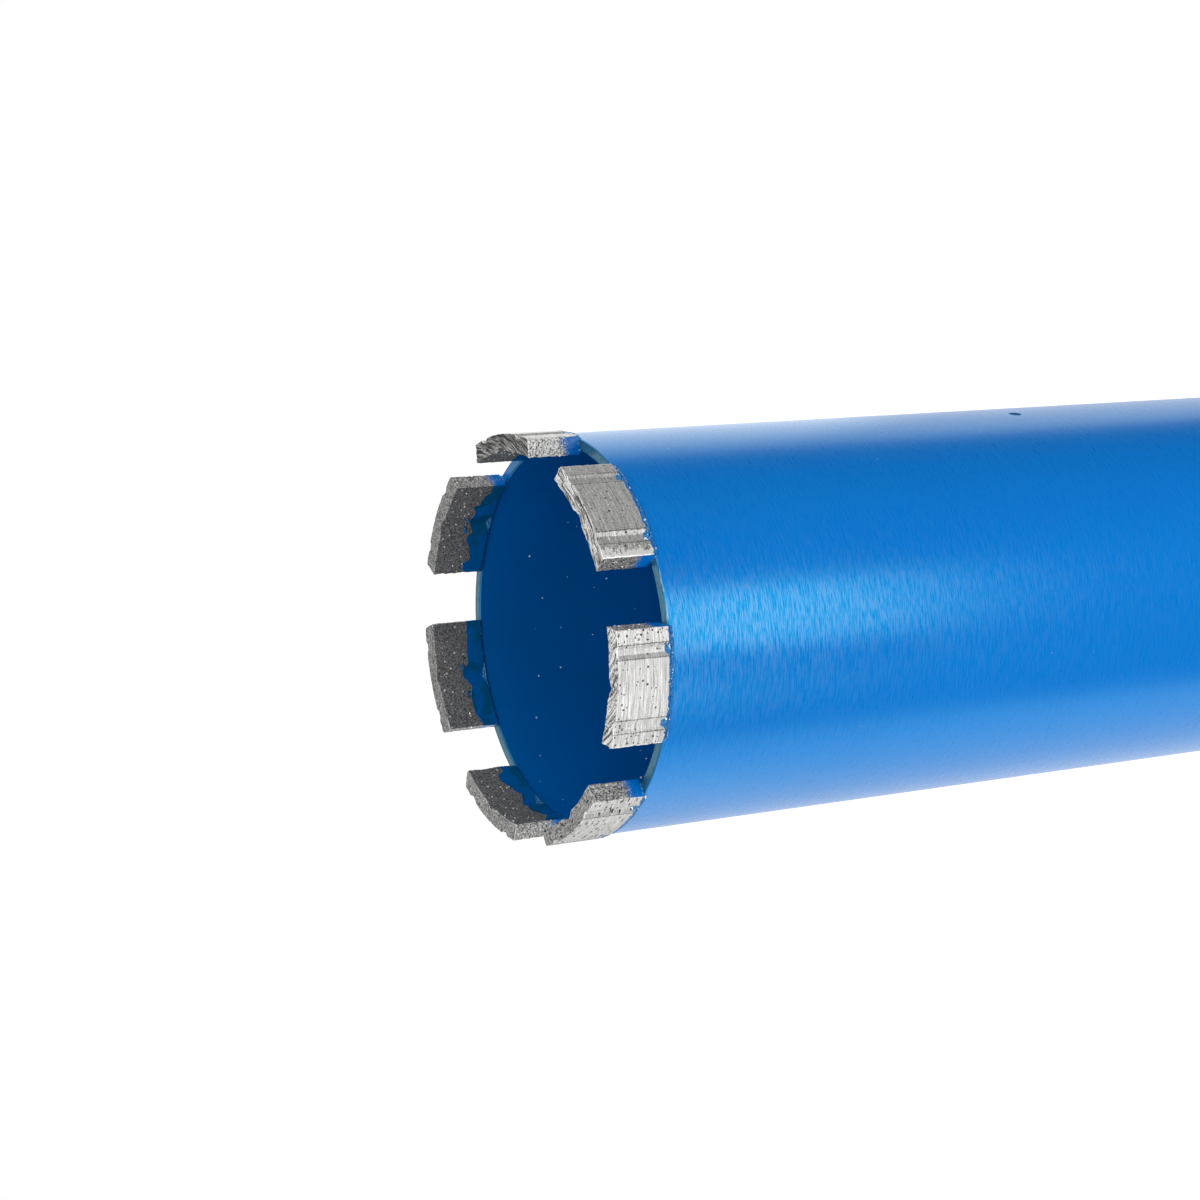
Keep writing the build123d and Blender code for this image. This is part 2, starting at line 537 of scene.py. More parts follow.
def segment_metal():
    """Sintered metal: ground outside, scored in front, raw inside, with lacquer at its root."""
    material, tree, shader = new_material("segment_metal")
    outer, end, front = coordinates(attribute(tree, "kind"))
    spot = attribute(tree, "spot")
    along, across, height = coordinates(spot)
    outer_tone, front_tone, end_tone = coordinates(attribute(tree, "tone"))
    hatched, coarse, pitted = coordinates(attribute(tree, "grit"))
    chipped, streaked, slant = coordinates(attribute(tree, "marks"))
    inner = (1.0 - outer - end - front).above(0.0)
    where = place(tree)

    lines = use(tree, ground_lines, {"Vector": spot, "Width": 0.24 * MM, "Length": 5 * MM,
                                     "Coarse Share": 0.06}, "Height")
    hatch = scored_lines(tree, along, across, height, slant)
    grain = use(tree, sintered_grain, {"Vector": where, "Size": 0.42 * MM}, "Height")
    hole = segment_holes(tree, where, spot, pitted, streaked)
    crumble_and_shade = groove_crumble(along, grain)
    worn = edge_wear_and_highlight(along, across, height, grain)
    band, chip = end_band(where, along, chipped)

    # Outer face, front, ends and inner face each have their own pattern, tone and contrast
    scored = mix(hatched, grain, mix(0.3, hatch, grain))
    texture = outer * mix(coarse, lines, grain) + front * scored + (end + inner) * grain
    bright = outer * outer_tone * 0.60 + front * front_tone * 0.34
    bright = bright + end * end_tone * 0.32 + inner * 0.17
    calm = 1.45 / front_tone.above(1.45)
    contrast = outer * (1.0 + coarse * 2.2) + front * (3.6 + hatched * 2.6) * calm
    contrast = contrast + end * 4.4 + inner * 3.0
    level = bright * (1.0 + (texture - 0.5) * contrast * 1.7).above(0.1) * (1.0 - band * 0.16)
    # painted shade: pits and the grooves' crumbled edges are darkened in colour, besides their sunken
    # relief
    level = level * (1.0 - hole * (outer + front + end * 0.5) * 0.92) * (1.0 - crumble_and_shade * outer * 0.6)
    # Edges are lightened: worn metal, and a painted highlight along them
    level = (level * (1.0 + worn * (0.55 + end * 0.3 - inner * 0.2)) + chip * outer * 1.1).below(0.9)
    metal = vector(tree, level, level * 0.995, level * 0.975)

    # The lacquer comes up from the root and leaves a stain on the inner face; there its blue is darker, as
    # painted shade
    edge = above_lacquer(where, height, outer, end, front, inner)
    soft = 0.06 * MM + end * 0.7 * MM
    bare = edge.step(-1.0 * soft, soft)
    stain = (1.0 - edge.step(0.0, 0.7 * MM)) * inner * 0.35
    metal = blend(stain, metal, (0.16, 0.12, 0.07))
    teal = noise(where, 3.5 * MM, 1.0).step(0.42, 0.6)
    # painted shade: a darker blue for the lacquer on the inner face
    inner_lacquer_painted_shade = blend(teal, (0.0, 0.12, 0.40), (0.0, 0.10, 0.24))
    lacquer = blend(inner, blend(grain, (0.0, 0.12, 0.46), (0.0, 0.18, 0.62)), inner_lacquer_painted_shade)
    plug(shader.inputs["Base Color"], blend(bare, lacquer, metal))
    plug(shader.inputs["Metallic"], bare * (0.15 + outer * 0.4 + front * 0.4 + end * 0.25))
    plug(shader.inputs["Roughness"], mix(bare, 0.2, 0.6 - outer * 0.2 - front * 0.12))
    shader.inputs["Specular IOR Level"].default_value = 0.2
    relief = texture * mix(bare, 0.2, 1.0) - (hole * (outer + front) + crumble_and_shade * outer * 0.6) * bare
    plug(shader.inputs["Normal"], bump(relief, 1.0, 0.1 * MM))
    return material


def diamond():
    """Synthetic diamond crystals: pale, glossy."""
    material, tree, shader = new_material("diamond_crystal")
    tint = noise(place(tree), 2 * MM)
    plug(shader.inputs["Base Color"], blend(tint, (0.75, 0.75, 0.68), (0.95, 0.95, 0.92)))
    shader.inputs["Roughness"].default_value = 0.08
    shader.inputs["Specular IOR Level"].default_value = 1.0
    return material


def nib_lacquer():
    """Pale dust caught in the lacquer."""
    material, tree, shader = new_material("nib_lacquer")
    tint = noise(place(tree), 3 * MM).step(0.38, 0.58)
    plug(shader.inputs["Base Color"], blend(tint, (0.10, 0.35, 0.65), (0.8, 0.95, 1.0)))
    shader.inputs["Roughness"].default_value = 0.15
    shader.inputs["Specular IOR Level"].default_value = 1.0
    return material


def hub_finish():
    """The plate's lacquer on the hub, with bare steel in the bore and on the end face."""
    material, tree, shader = new_material("hub_finish")
    where = place(tree)
    x, y, z = coordinates(where)
    radius = from_axis(x, y)
    lines = use(tree, ground_lines, {"Vector": where, "Width": 0.3 * MM, "Length": 10 * MM}, "Height")
    cloud = noise(where, 2.5 * MM, 3.0)
    past_thread = (radius + cloud * 0.6 * MM).step(17.2 * MM, 17.5 * MM)
    above_face = (z + cloud * 0.5 * MM).step(0.4 * MM, 0.5 * MM)
    painted = past_thread * above_face
    steel = blend(lines, (0.28, 0.28, 0.27), (0.5, 0.5, 0.49))
    plug(shader.inputs["Base Color"], blend(painted, steel, blend(cloud, lacquer_full, lacquer_light)))
    plug(shader.inputs["Metallic"], 1.0 - painted)
    plug(shader.inputs["Roughness"], 0.3 + lines * 0.15)
    shader.inputs["Specular Tint"].default_value = lacquer_glint
    plug(shader.inputs["Normal"], bump(lines, 0.35, 0.05 * MM))
    return material


def weld_lacquer():
    """Lacquer over a rippled weld bead."""
    material, tree, shader = new_material("weld_lacquer")
    where = place(tree)
    grain = noise(where, 1.2 * MM, 3.0)
    plug(shader.inputs["Base Color"], blend(grain, lacquer_full, lacquer_light))
    shader.inputs["Specular Tint"].default_value = lacquer_glint
    plug(shader.inputs["Roughness"], 0.2 + grain * 0.25)
    plug(shader.inputs["Normal"], bump(grain, 0.4, 0.1 * MM))
    return material


def floor_white():
    """White studio floor: camera and mirror rays see it at full white, less the bit's shadow."""
    material, tree, shader = new_material("floor_white")
    cloud = noise(place(tree), 600 * MM, 1.0)
    plug(shader.inputs["Base Color"], blend(cloud, (0.80, 0.80, 0.80), (0.82, 0.82, 0.82)))
    shader.inputs["Roughness"].default_value = 0.9
    shader.inputs["Specular IOR Level"].default_value = 0.1
    glow = tree.nodes.new("ShaderNodeEmission")
    plug(glow.inputs["Strength"], seen_rays(tree) * 0.70)
    both = tree.nodes.new("ShaderNodeAddShader")
    tree.links.new(shader.outputs[0], both.inputs[0])
    tree.links.new(glow.outputs[0], both.inputs[1])
    tree.links.new(both.outputs[0], tree.nodes["Material Output"].inputs["Surface"])
    return material


def card_black():
    """Black card that darkens what the tube mirrors."""
    material, tree, shader = new_material("card_black")
    cloud = noise(place(tree), 10 * MM)
    plug(shader.inputs["Base Color"], blend(cloud, (0.01, 0.01, 0.01), (0.02, 0.02, 0.02)))
    shader.inputs["Roughness"].default_value = 0.9
    shader.inputs["Specular IOR Level"].default_value = 0.0
    return material


lacquer_finish = blue_lacquer()
braze_finish = painted_braze()
segment_finish = segment_metal()
diamond_finish = diamond()
nib_finish = nib_lacquer()
hub_metal = hub_finish()
weld_finish = weld_lacquer()


# Meshes

def show(name, mesh):
    """Puts a mesh in the scene at the origin."""
    piece = bpy.data.objects.new(name, mesh)
    bpy.context.scene.collection.objects.link(piece)
    return piece


def dress(piece, replaced):
    """Puts a finished piece on the bit in place of its CAD node."""
    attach(piece, "root")
    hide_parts(replaced)
    return piece


def ring(name, loop, angles, material, sharp=25):
    """Closed ring: loop(angle) gives the section as (radius, height) points, counterclockwise."""
    verts, faces = [], []
    for angle in angles:
        for r, z in loop(angle):
            verts.append((r * cos(angle), r * sin(angle), z))
    rows, count = len(angles), len(verts) // len(angles)
    for i in range(rows):
        for j in range(count):
            a, b = i * count + j, i * count + (j + 1) % count
            c, d = (i + 1) % rows * count + (j + 1) % count, (i + 1) % rows * count + j
            faces.append((a, d, c, b))
    mesh = bpy.data.meshes.new(name)
    mesh.from_pydata(verts, [], faces)
    mesh.materials.append(material)
    mesh.polygons.foreach_set("use_smooth", [True] * len(faces))
    mesh.set_sharp_from_angle(angle=radians(sharp))
    mesh.update()
    return show(name, mesh)


def even_angles(count):
    """The angles of a full turn in equal steps."""
    return [2 * pi * i / count for i in range(count)]


def grow(name, tree, values):
    """Runs a geometry tree and keeps what it makes as a plain mesh object."""
    seed = show(name + "_seed", bpy.data.meshes.new(name + "_seed"))
    modifier = seed.modifiers.new("grow", "NODES")
    modifier.node_group = tree
    for item in tree.interface.items_tree:
        if item.item_type == "SOCKET" and item.in_out == "INPUT" and item.name in values:
            modifier[item.identifier] = values[item.name]
    depsgraph = bpy.context.evaluated_depsgraph_get()
    mesh = bpy.data.meshes.new_from_object(
        seed.evaluated_get(depsgraph), preserve_all_data_layers=True, depsgraph=depsgraph)
    bpy.data.objects.remove(seed)
    return show(name, mesh)


# Barrel tube, end plate, welds and hub

def tube_loop(angle):
    """The tube's wall; like the plate's section, it is the same all round."""
    return [
        (tube_bore_radius, tube_rear),
        (tube_radius - tube_weld_leg, tube_rear),
        (tube_radius, tube_rear + tube_weld_leg),
        (tube_radius, tube_front - tube_edge_break),
        (tube_radius - tube_edge_break, tube_front),
        (tube_bore_radius + tube_edge_break, tube_front),
        (tube_bore_radius, tube_front - tube_edge_break),
    ]


def plate_loop(angle):
    """The end plate: its flange, its spigot and its hole."""
    hole = hub_spigot_radius + plate_fit
    spigot = tube_bore_radius - plate_fit
    low, high = plate_low.z, plate_high.z
    return [
        (hole, low),
        (tube_radius - tube_weld_leg, low),
        (tube_radius, low + tube_weld_leg),
        (tube_radius, tube_rear - tube_weld_leg),
        (tube_radius - tube_weld_leg, tube_rear),
        (spigot, tube_rear),
        (spigot, high - plate_chamfer),
        (spigot - plate_chamfer, high),
        (hole, high),
    ]


def ripple(angle, radius, step):
    """Height of a weld bead's ripples, from 0 to 1, at an angle round the bit."""
    count = round(2 * pi * radius / step)
    phase = angle * count / (2 * pi) % 1.0
    return (1 - phase) ** 0.6 * min(1.0, phase * 6)


def tube_weld_loop(angle):
    """Bead between the tube and the plate; its ripples take up about half of its crown."""
    crest = tube_weld_crown * (0.45 + 0.55 * ripple(angle, tube_radius, tube_weld_ripple))
    points = [(tube_radius - tube_weld_leg, tube_rear)]
    for i in range(bead_steps + 1):
        t = i / bead_steps * 2 - 1
        points.append((tube_radius + crest * (1 - t * t), tube_rear + t * tube_weld_leg))
    return points


def hub_weld_loop(angle):
    """Fillet bead between the hub and the plate, a little hollow between its ripples."""
    bulge = hub_weld_ripple_height * ripple(angle, hub_radius, hub_weld_ripple) - hub_weld_hollow
    points = [(hub_radius, plate_low.z)]
    for i in range(bead_steps + 1):
        t = i / bead_steps
        reach = bulge * 4 * t * (1 - t)
        points.append((
            hub_radius + hub_weld_leg * t + reach * 0.7,
            plate_low.z - hub_weld_leg * (1 - t) - reach * 0.7,
        ))
    return points


def thread_radius(angle, z):
    """Right-hand thread: the bore's radius at an angle and a height."""
    phase = (z / thread_pitch - angle / (2 * pi)) % 1.0
    # Each turn has a flat top and bottom, with straight flanks between them
    crest = min(1.0, max(0.0, abs(2 * phase - 1) * 1.4 - 0.2))
    r = thread_minor_radius + (thread_major_radius - thread_minor_radius) * crest
    return max(r, thread_mouth_radius - z, thread_minor_radius + thread_exit_break - (hub_high.z - z))


def hub_loop(angle):
    """The boss with its flats and spigot outside, and its thread inside."""
    high = hub_high.z
    flat = hub_half_flats / max(abs(cos(angle)), 0.01)
    points = [
        (min(hub_radius - hub_chamfer, flat), 0.0),
        (min(hub_radius, flat), hub_chamfer),
        (min(hub_radius, flat), hub_flats_height),
        (hub_radius, hub_flats_height),
        (hub_radius, plate_low.z),
        (hub_spigot_radius, plate_low.z),
        (hub_spigot_radius, high),
    ]
    rows = ceil(high / thread_pitch * thread_steps)
    for i in range(rows + 1):
        z = high * (1 - i / rows)
        points.append((thread_radius(angle, z), z))
    return points


def hub_angles():
    """Even steps, and one at each edge of the two flats."""
    corner = acos(hub_half_flats / hub_radius)
    low_corner = acos(hub_half_flats / (hub_radius - hub_chamfer))
    corners = [c * s + o for c in (corner, low_corner) for s in (-1, 1) for o in (0, pi)]
    return sorted(set(even_angles(hub_steps) + [c % (2 * pi) for c in corners]))


barrel = ring("barrel", tube_loop, even_angles(barrel_steps), lacquer_finish)
rear_plate = ring("rear_plate", plate_loop, even_angles(plate_steps), lacquer_finish)
barrel_weld = ring("barrel_weld", tube_weld_loop, even_angles(tube_weld_steps), weld_finish, 80)
boss_weld = ring("boss_weld", hub_weld_loop, even_angles(hub_weld_steps), weld_finish, 80)
threaded_boss = ring("threaded_boss", hub_loop, hub_angles(), hub_metal)
dress(barrel, "tube")
dress(rear_plate, "end_plate")
dress(barrel_weld, "tube_weld")
dress(boss_weld, "hub_weld")
dress(threaded_boss, "hub")


# Segments

def geometry_node(tree, kind, values):
    """A geometry node with its inputs set by name."""
    node = tree.nodes.new(kind)
    for title, value in values.items():
        plug(node.inputs[title], value)
    return node


def store(tree, geometry, name, value):
    """Keeps a vector on the geometry for its material to read."""
    node = tree.nodes.new("GeometryNodeStoreNamedAttribute")
    node.data_type = "FLOAT_VECTOR"
    plug(node.inputs["Geometry"], geometry)
    plug(node.inputs["Name"], name)
    plug(node.inputs["Value"], value)
    return Field(node.outputs[0])


def stored(tree, name):
    """A vector that was kept on the geometry."""
    node = tree.nodes.new("GeometryNodeInputNamedAttribute")
    node.data_type = "FLOAT_VECTOR"
    node.inputs["Name"].default_value = name
    return Field(node.outputs[0])


def position(tree):
    """Where each point of the geometry is."""
    return Field(tree.nodes.new("GeometryNodeInputPosition").outputs[0])


def lattice_box(tree, length, thick, tall, spacing):
    """Box round the origin with points spaced evenly over its faces."""
    box = geometry_node(tree, "GeometryNodeMeshCube", {
        "Size": vector(tree, length, thick, tall), "Vertices X": length / spacing,
        "Vertices Y": thick / spacing, "Vertices Z": tall / spacing})
    return Field(box.outputs["Mesh"])


def moved_to(tree, geometry, where):
    """Geometry with its points at new places."""
    moved = geometry_node(tree, "GeometryNodeSetPosition", {"Geometry": geometry, "Position": where})
    return Field(moved.outputs[0])


def smoothed(tree, geometry):
    """Geometry with smooth shading."""
    return Field(geometry_node(tree, "GeometryNodeSetShadeSmooth", {"Geometry": geometry}).outputs[0])


def with_material(tree, geometry, material):
    """Geometry with one material."""
    skin = geometry_node(tree, "GeometryNodeSetMaterial", {"Geometry": geometry})
    skin.inputs["Material"].default_value = material
    return Field(skin.outputs[0])


def crystals_on(tree, points, radius, smallest, largest, seed):
    """Crystals of uneven size standing on scattered points."""
    crystal = geometry_node(tree, "GeometryNodeMeshIcoSphere", {"Radius": radius, "Subdivisions": 1})
    size = tree.nodes.new("FunctionNodeRandomValue")
    size.data_type = "FLOAT"
    size.inputs[random_min].default_value = smallest
    size.inputs[random_max].default_value = largest
    plug(size.inputs["Seed"], seed)
    crystals = geometry_node(tree, "GeometryNodeInstanceOnPoints", {
        "Points": Field(points.outputs["Points"]), "Instance": Field(crystal.outputs["Mesh"]),
        "Rotation": Field(points.outputs["Rotation"]), "Scale": Field(size.outputs[random_out])})
    return Field(crystals.outputs[0])


def realized(tree, geometry):
    """Instances turned into real geometry."""
    return Field(geometry_node(tree, "GeometryNodeRealizeInstances", {"Geometry": geometry}).outputs[0])


def turned(tree, x, y, z, angle):
    """The point (x, y, z) turned about the bit's axis."""
    c, s = angle.calc("COSINE"), angle.calc("SINE")
    return vector(tree, x * c - y * s, x * s + y * c, z)


def kept_inside(tree, geometry):
    """Geometry held inside the crown's ring and below its face."""
    x, y, z = coordinates(position(tree))
    radius = from_axis(x, y)
    pull = ((crown_radius - 0.01 * MM) / radius).below(1.0)
    return moved_to(tree, geometry, vector(tree, x * pull, y * pull, z.below(crown_height - 0.005 * MM)))


def store_finish(tree, geometry, put, spot):
    """Keeps what the material reads on a segment's points: face, place, tones, grit and marks."""
    along, across, height = coordinates(spot)
    near = 0.02 * MM
    outer = across.calc("GREATER_THAN", put["Thickness"] * 0.5 - near)
    end = abs(along).calc("GREATER_THAN", put["Length"] * 0.5 - near) * (1.0 - outer)
    front = height.calc("GREATER_THAN", put["Height"] * 0.5 - near) * (1.0 - outer) * (1.0 - end)
    for name, parts in (
            ("kind", (outer, end, front)),
            ("spot", (along, across, height + put["Height"] * 0.5)),
            ("tone", (put["Outer Tone"], put["Front Tone"], put["End Tone"])),
            ("grit", (put["Hatched"], put["Coarse"], put["Pitted"])),
            ("marks", (put["Chipped"], put["Streaked"], put["Slant"]))):
        geometry = store(tree, geometry, name, vector(tree, *parts))
    return geometry


def worn_edges(tree, put, spot):
    """Where the box's points go when its edges are worn to an uneven radius."""
    seed = put["Seed"]
    # The seed moves the noise, so that no two segments wear alike
    shift = vector(tree, seed * 0.037, seed * 0.051, seed * 0.013)
    drift = vector_calc("ADD", spot, shift)
    wear = (noise(drift, 0.9 * MM, 2.0, 0.6) - 0.4).above(0.0) * 1.6 * MM + 0.04 * MM
    halves = [put[side] * 0.5 for side in ("Length", "Thickness", "Height")]
    flat = [field.above(-1.0 * (half - wear)).below(half - wear)
            for field, half in zip(coordinates(spot), halves)]
    core = vector(tree, *flat)
    outward = vector_calc("NORMALIZE", vector_calc("SUBTRACT", spot, core))
    return coordinates(vector_calc("ADD", core, scaled(outward, wear)))


def bent_to_crown(tree, put, along, across, height):
    """Where the box's points go on the crown's ring, with two grooves outside and a notch inside."""
    crown, thick = put["Crown Radius"], put["Thickness"]
    inner_radius = crown - thick
    slope = (groove_mouth - groove_floor) / 2
    off_groove = abs(abs(along) - groove_offset)
    groove = ((groove_mouth / 2 - off_groove) / slope).above(0.0).below(1.0) * put["Groove Depth"]
    off_tip = along - notch_tip_shift
    left = 1.0 + off_tip / (notch_mouth / 2 + notch_tip_shift)
    right = 1.0 - off_tip / (notch_mouth / 2 - notch_tip_shift)
    notch = left.below(right).above(0.0) * put["Notch Depth"]
    outside = (crown * crown - along * along).root() - groove
    inside = (inner_radius * inner_radius - along * along).root() + notch
    share = across / thick + 0.5
    reach = mix(share, inside, outside)
    return turned(tree, reach, along, height + (segment_root + segment_height / 2), put["Facing"])


def roughened(tree, geometry):
    """A segment with grain, waves and pits in the surface itself, least on its outer face."""
    outer, end, front = coordinates(stored(tree, "kind"))
    inner = 1.0 - outer - end - front
    spot = position(tree)
    normal = Field(tree.nodes.new("GeometryNodeInputNormal").outputs[0])
    grain = noise(spot, 0.6 * MM, 2.0, 0.6) - 0.5
    wave = noise(spot, 2.4 * MM, 2.0) - 0.5
    pit_distance = cells(spot, 1.6 * MM)
    pit_chance = coordinates(cells(spot, 1.6 * MM, "Color"))[0]
    pit = (1.0 - pit_distance.step(0.08, 0.17)) * pit_chance.step(0.6, 0.65)
    lift = grain * (0.05 * MM * outer + 0.12 * MM * front + 0.16 * MM * end + 0.10 * MM * inner)
    lift = lift + wave * (0.35 * MM * front + 0.25 * MM * end + 0.12 * MM * inner) - 0.04 * MM
    lift = lift - pit * 0.18 * MM * (outer + front)
    rough = geometry_node(tree, "GeometryNodeSetPosition", {
        "Geometry": geometry, "Offset": scaled(normal, lift)})
    return Field(rough.outputs[0])


def raw_face_crystals(tree, put, geometry):
    """Diamond crystals standing out of every face but the outer one, clear of the root."""
    raw = 1.0 - coordinates(stored(tree, "kind"))[0]
    clear = coordinates(position(tree))[2].calc("GREATER_THAN", segment_root + 4.5 * MM)
    scatter = geometry_node(tree, "GeometryNodeDistributePointsOnFaces", {
        "Mesh": geometry, "Selection": raw * clear, "Density": put["Crystal Density"],
        "Seed": put["Seed"]})
    crystals = crystals_on(
        tree, scatter, put["Crystal Radius"], smallest=0.4, largest=1.3, seed=put["Seed"])
    return kept_inside(tree, realized(tree, crystals))


def segment_tree():
    """One segment: a lattice box, rounded, bent, grooved, notched and roughened, with its crystals."""
    tree, put, leave = new_tree("Geometry", "diamond_segment", {
        "Length": segment_length, "Thickness": segment_thickness, "Height": segment_height,
        "Crown Radius": crown_radius, "Groove Depth": groove_depth, "Notch Depth": notch_depth,
        "Lattice": 0.17 * MM, "Crystal Radius": 0.19 * MM, "Crystal Density": 200000.0,
        "Outer Tone": 1.0, "Front Tone": 1.0, "End Tone": 1.0, "Hatched": 0.0, "Coarse": 0.0,
        "Pitted": 0.0, "Chipped": 0.0, "Streaked": 0.0, "Slant": 0.0, "Facing": 0.0, "Seed": 0},
        {"Geometry": "Geometry"})
    box = lattice_box(tree, put["Length"], put["Thickness"], put["Height"], put["Lattice"])
    spot = position(tree)
    marked = store_finish(tree, box, put, spot)
    bent = moved_to(tree, marked, bent_to_crown(tree, put, *worn_edges(tree, put, spot)))
    rough = roughened(tree, bent)
    body = realized(tree, smoothed(tree, kept_inside(tree, rough)))
    crystals = raw_face_crystals(tree, put, rough)
    both = tree.nodes.new("GeometryNodeJoinGeometry")
    plug(both.inputs[0], with_material(tree, body, segment_finish))
    plug(both.inputs[0], with_material(tree, crystals, diamond_finish))
    tree.links.new(both.outputs[0], leave.inputs["Geometry"])
    return tree


def segment_angle(number):
    """Direction of a segment's middle; they count clockwise from above."""
    return front_segment_angle - (number - front_segment) * 2 * pi / segment_count


# How bright each segment's outer face, front and ends are, how hatched its front is, how coarse
# and pitted its outer face is, whether that face has chips at one end or long pits, and the
# angle of the hatching
finish_titles = (
    "Outer Tone", "Front Tone", "End Tone", "Hatched", "Coarse", "Pitted", "Chipped", "Streaked",
    "Slant")
segment_finishes = {
    1: (0.95, 0.50, 1.80, 1.0, 0.3, 0.0, 0.0, 0.0, 1.95),
    2: (0.84, 1.45, 0.85, 0.9, 0.5, 0.3, 1.0, 0.0, 1.69),
    3: (1.02, 1.8, 0.90, 0.85, 0.2, 0.6, 0.0, 0.0, -0.87),
    4: (0.72, 0.90, 0.95, 0.2, 0.4, 1.0, 0.0, 1.0, 1.6),
    5: (0.85, 0.85, 1.00, 0.2, 0.3, 0.3, 0.0, 0.0, 1.6),
    6: (0.85, 0.70, 1.00, 0.4, 0.3, 0.0, 0.0, 0.0, 1.6),
    7: (0.85, 0.74, 0.90, 0.1, 0.5, 0.3, 0.0, 0.0, 1.6),
}
diamond_segment = segment_tree()
for number in range(1, segment_count + 1):
    values = dict(zip(finish_titles, segment_finishes[number]))
    piece = grow(f"cutting_segment_{number}", diamond_segment, {
        **values, "Facing": segment_angle(number), "Seed": number})
    dress(piece, f"segment_{number}")


# Braze and lacquer round the segments' feet

def braze_tree():
    """Braze and thick lacquer round the foot of one segment: a lumpy collar that sinks into it."""
    tree, put, leave = new_tree("Geometry", "braze_collar", {
        "Length": segment_length, "Leg": 1.0 * MM, "Rise": 7.0 * MM, "Drop": 2.6 * MM,
        "Lattice": 0.18 * MM, "Facing": 0.0, "Seed": 0}, {"Geometry": "Geometry"})
    thick = segment_thickness
    half = put["Length"] * 0.5
    tall = put["Rise"] + put["Drop"]
    box = lattice_box(tree, put["Length"], thick, tall, put["Lattice"])
    along, across, middle = coordinates(position(tree))
    height = middle + (put["Rise"] - put["Drop"]) * 0.5
    share = across / thick + 0.5
    over = height.above(0.0)
    seed = put["Seed"]
    drift = vector(tree, along + seed * 0.041, across + seed * 0.029, height + seed * 0.017)
    lump = noise(drift, 1.3 * MM, 1.0, 0.45) - 0.5
    crumb = noise(drift, 0.6 * MM, 1.0) - 0.5
    uneven = noise(vector(tree, along + seed * 0.07, share * 0.03, 0.0), 2.6 * MM, 1.0)
    fade = 1.0 - abs(along).step(half - 1.1 * MM, half)
    hold = mix(over.step(0.0, 0.1 * MM), fade, 1.0)

    # Outside: a lumpy rib on the tube with a crease under the segment; it also climbs the grooves
    foot = -1.0 * put["Leg"] * (0.35 + uneven * 1.5)
    rise = height.step(foot, foot * 0.5) * hold
    crease = (height.step(-0.5 * MM, -0.3 * MM) - height.step(-0.2 * MM, 0.0)) * 0.7
    bead = tube_radius - 0.03 * MM + rise * (1.0 - crease) * (crown_radius - tube_radius)
    fold = 1.0 - abs(noise(drift, 0.9 * MM, 1.0) - 0.5).step(0.0, 0.13)
    bead = bead + (lump * 0.8 * MM + fold * 0.38 * MM - 0.05 * MM) * rise * (1.0 - rise * 0.7)
    ramp = (crown_radius + 0.06 * MM) - over * (0.35 + uneven * 0.5) + crumb * 0.3 * MM
    outside = bead.below(ramp).above(crown_radius - 1.4 * MM)

    # Inside: a short smooth fillet, and a few curled lumps where the lacquer ends
    rise = height.step(-0.55 * MM, 0.0) * hold
    bead = tube_bore_radius + 0.03 * MM - rise * (tube_bore_radius - (crown_radius - thick))
    bead = bead - lump * 0.15 * MM * rise
    spots = vector(tree, along + seed * 0.053, over + seed * 0.019, 0.0)
    curl = 1.0 - abs(cells(spots, 2.4 * MM) + lump * 0.4 - 0.22).step(0.03, 0.16)
    chosen = coordinates(cells(spots, 2.4 * MM, "Color"))[1].step(0.35, 0.4)
    band = over.step(2.8 * MM, 3.6 * MM) * (1.0 - over.step(5.6 * MM, 6.4 * MM))
    worm = curl * chosen * band * (1.0 - abs(along).step(5.5 * MM, 7.5 * MM))
    buried = crown_radius - thick + notch_depth - 0.4 * MM
    inside = (bead + over * 1.2).below(buried + 0.8 * MM)
    curled = inside.below(crown_radius - thick - 0.05 * MM) - 0.35 * MM - crumb * 0.3 * MM
    inside = mix(worm, inside, curled)

    reach = mix(share, inside, outside)
    side = along * (1.0 + (0.3 * MM * (lump + 0.5) - over * 0.3 - 0.05 * MM) / half)
    depth = (reach * reach - side * side).root()
    bent = turned(tree, depth, side, height + segment_root, put["Facing"])
    collar = realized(tree, smoothed(tree, kept_inside(tree, moved_to(tree, box, bent))))
    plug(leave.inputs["Geometry"], with_material(tree, collar, braze_finish))
    return tree


braze_collar = braze_tree()
for number in range(1, segment_count + 1):
    piece = grow(f"braze_collar_{number}", braze_collar, {
        "Facing": segment_angle(number), "Seed": number})
    dress(piece, f"braze_seam_{number}")


# Dust in the lacquer

def nib_tree():
    """Dust nibs caught in the lacquer: crystals scattered over a length of the tube's wall."""
    tree, put, leave = new_tree("Geometry", "paint_nibs", {
        "Radius": tube_bore_radius, "Low": 330 * MM, "High": 436 * MM, "Density": 6000.0,
        "Size": 0.26 * MM, "Seed": 0}, {"Geometry": "Geometry"})
    wall = geometry_node(tree, "GeometryNodeMeshCylinder", {
        "Vertices": 128, "Radius": put["Radius"], "Depth": put["High"] - put["Low"]})
    wall.fill_type = "NONE"
    scatter = geometry_node(tree, "GeometryNodeDistributePointsOnFaces", {
        "Mesh": Field(wall.outputs["Mesh"]), "Density": put["Density"], "Seed": put["Seed"]})
    nibs = crystals_on(tree, scatter, put["Size"], smallest=0.45, largest=1.15, seed=put["Seed"])
    lifted = geometry_node(tree, "GeometryNodeTransform", {
        "Geometry": nibs, "Translation": vector(tree, 0.0, 0.0, (put["High"] + put["Low"]) * 0.5)})
    real = realized(tree, Field(lifted.outputs[0]))
    plug(leave.inputs["Geometry"], with_material(tree, real, nib_finish))
    return tree


paint_nibs = nib_tree()
for name, radius, density, seed in (
        ("nibs_inside", tube_bore_radius, 12000.0, 3),
        ("nibs_outside", tube_radius - 0.14 * MM, 1400.0, 8)):
    piece = grow(name, paint_nibs, {"Radius": radius, "Density": density, "Seed": seed})
    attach(piece, "root")


# Studio

